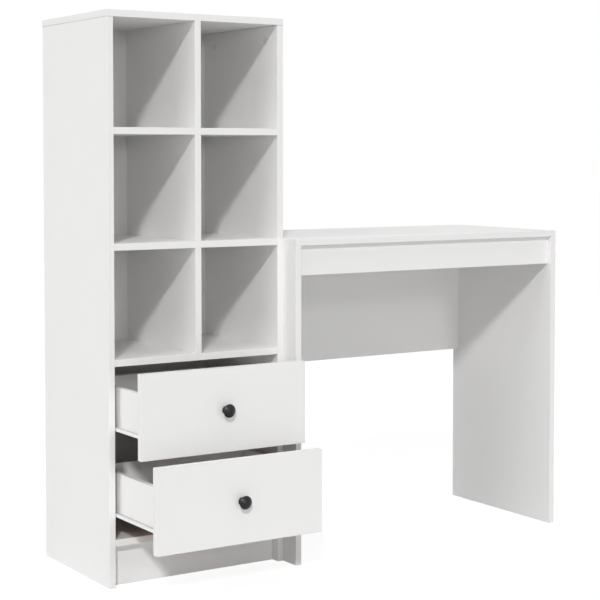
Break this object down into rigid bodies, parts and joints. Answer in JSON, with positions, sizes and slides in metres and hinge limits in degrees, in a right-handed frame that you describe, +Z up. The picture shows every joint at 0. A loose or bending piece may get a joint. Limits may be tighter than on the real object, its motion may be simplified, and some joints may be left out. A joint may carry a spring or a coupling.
{
  "type": "corner desk",
  "caption": "Writing desk joined to an open shelf tower with cubbies over drawers on roller runners, each with a round knob.",
  "frame": {"origin": "centre of the footprint box at floor level, with both drawers standing out as stored", "axes": "+Z up, +Y towards the wall behind the desk, +X from the shelf tower towards the free end of the desk"},
  "size_m": [1.222, 0.5504, 1.245],
  "materials": {
    "white_board": "white melamine coating, fine matt texture",
    "drawer_board": "white melamine coating, smooth matt",
    "hardboard": "thin hardboard, white lacquer on the face, brown on the back",
    "knob_black": "satin black",
    "rail_white": "white epoxy powder coat",
    "roller_plastic": "white moulded plastic",
    "cam_plastic": "white plastic cover",
    "steel": "zinc-plated steel",
    "dowel_wood": "fluted beech"
  },
  "bodies": {
    "carcass": {"tower_left_side": "white_board", "tower_right_side": "white_board", "tower_top": "white_board", "tower_bottom": "white_board", "drawer_cover_shelf": "white_board", "lower_shelf": "white_board", "upper_shelf": "white_board", "bottom_divider": "white_board", "middle_divider": "white_board", "top_divider": "white_board", "tower_plinth": "white_board", "tower_back": "hardboard", "back_nails": "steel", "case_dowels": "dowel_wood", "case_cam_bolts": "steel", "case_cams": "cam_plastic", "desk_top": "white_board", "desk_left_leg": "white_board", "desk_right_leg": "white_board", "desk_apron": "white_board", "modesty_panel": "white_board", "desk_link_bolts": "steel", "tower_rail_screws": "steel", "upper_drawer_left_tower_rail": "rail_white", "upper_drawer_right_tower_rail": "rail_white", "lower_drawer_left_tower_rail": "rail_white", "lower_drawer_right_tower_rail": "rail_white"},
    "upper_drawer": {"upper_drawer_front": "white_board", "upper_drawer_left_side": "drawer_board", "upper_drawer_right_side": "drawer_board", "upper_drawer_back": "drawer_board", "upper_drawer_bottom": "hardboard", "upper_drawer_knob": "knob_black", "upper_drawer_knob_screw": "steel", "upper_drawer_cam_fittings": "cam_plastic", "upper_drawer_dowels": "dowel_wood", "upper_drawer_screws": "steel", "upper_drawer_left_drawer_rail": "rail_white", "upper_drawer_right_drawer_rail": "rail_white"},
    "lower_drawer": {"lower_drawer_front": "white_board", "lower_drawer_left_side": "drawer_board", "lower_drawer_right_side": "drawer_board", "lower_drawer_back": "drawer_board", "lower_drawer_bottom": "hardboard", "lower_drawer_knob": "knob_black", "lower_drawer_knob_screw": "steel", "lower_drawer_cam_fittings": "cam_plastic", "lower_drawer_dowels": "dowel_wood", "lower_drawer_screws": "steel", "lower_drawer_left_drawer_rail": "rail_white", "lower_drawer_right_drawer_rail": "rail_white"},
    "upper_drawer_left_front_roller": {"upper_drawer_left_front_roller": "roller_plastic"},
    "upper_drawer_left_rear_roller": {"upper_drawer_left_rear_roller": "roller_plastic"},
    "upper_drawer_right_front_roller": {"upper_drawer_right_front_roller": "roller_plastic"},
    "upper_drawer_right_rear_roller": {"upper_drawer_right_rear_roller": "roller_plastic"},
    "lower_drawer_left_front_roller": {"lower_drawer_left_front_roller": "roller_plastic"},
    "lower_drawer_left_rear_roller": {"lower_drawer_left_rear_roller": "roller_plastic"},
    "lower_drawer_right_front_roller": {"lower_drawer_right_front_roller": "roller_plastic"},
    "lower_drawer_right_rear_roller": {"lower_drawer_right_rear_roller": "roller_plastic"}
  },
  "joints": [
    {"name": "upper_drawer_slide", "type": "slide", "parent": "carcass", "child": "upper_drawer", "axis": [0, -1, 0], "range_m": [-0.11845, 0.11155]},
    {"name": "lower_drawer_slide", "type": "slide", "parent": "carcass", "child": "lower_drawer", "axis": [0, -1, 0], "range_m": [-0.1863, 0.0437]},
    {"name": "upper_drawer_left_front_roller_spin", "type": "hinge", "parent": "carcass", "child": "upper_drawer_left_front_roller", "pos_m": [-0.5889, -0.03885, 0.33795], "axis": [1, 0, 0], "range_deg": [-804, 757]},
    {"name": "upper_drawer_left_rear_roller_spin", "type": "hinge", "parent": "upper_drawer", "child": "upper_drawer_left_rear_roller", "pos_m": [-0.5889, 0.1197, 0.33145], "axis": [1, 0, 0], "range_deg": [-910, 858]},
    {"name": "upper_drawer_right_front_roller_spin", "type": "hinge", "parent": "carcass", "child": "upper_drawer_right_front_roller", "pos_m": [-0.1911, -0.03885, 0.33795], "axis": [1, 0, 0], "range_deg": [-804, 757]},
    {"name": "upper_drawer_right_rear_roller_spin", "type": "hinge", "parent": "upper_drawer", "child": "upper_drawer_right_rear_roller", "pos_m": [-0.1911, 0.1197, 0.33145], "axis": [1, 0, 0], "range_deg": [-910, 858]},
    {"name": "lower_drawer_left_front_roller_spin", "type": "hinge", "parent": "carcass", "child": "lower_drawer_left_front_roller", "pos_m": [-0.5889, -0.03885, 0.1517], "axis": [1, 0, 0], "range_deg": [-1261, 300]},
    {"name": "lower_drawer_left_rear_roller_spin", "type": "hinge", "parent": "lower_drawer", "child": "lower_drawer_left_rear_roller", "pos_m": [-0.5889, 0.05185, 0.1452], "axis": [1, 0, 0], "range_deg": [-1429, 339]},
    {"name": "lower_drawer_right_front_roller_spin", "type": "hinge", "parent": "carcass", "child": "lower_drawer_right_front_roller", "pos_m": [-0.1911, -0.03885, 0.1517], "axis": [1, 0, 0], "range_deg": [-1261, 300]},
    {"name": "lower_drawer_right_rear_roller_spin", "type": "hinge", "parent": "lower_drawer", "child": "lower_drawer_right_rear_roller", "pos_m": [-0.1911, 0.05185, 0.1452], "axis": [1, 0, 0], "range_deg": [-1429, 339]}
  ],
  "couplings": [
    {"joint": "upper_drawer_left_front_roller_spin", "follows": "upper_drawer_slide", "rad_per_m": 117.65},
    {"joint": "upper_drawer_left_rear_roller_spin", "follows": "upper_drawer_slide", "rad_per_m": 133.33},
    {"joint": "upper_drawer_right_front_roller_spin", "follows": "upper_drawer_slide", "rad_per_m": 117.65},
    {"joint": "upper_drawer_right_rear_roller_spin", "follows": "upper_drawer_slide", "rad_per_m": 133.33},
    {"joint": "lower_drawer_left_front_roller_spin", "follows": "lower_drawer_slide", "rad_per_m": 117.65},
    {"joint": "lower_drawer_left_rear_roller_spin", "follows": "lower_drawer_slide", "rad_per_m": 133.33},
    {"joint": "lower_drawer_right_front_roller_spin", "follows": "lower_drawer_slide", "rad_per_m": 117.65},
    {"joint": "lower_drawer_right_rear_roller_spin", "follows": "lower_drawer_slide", "rad_per_m": 133.33}
  ]
}
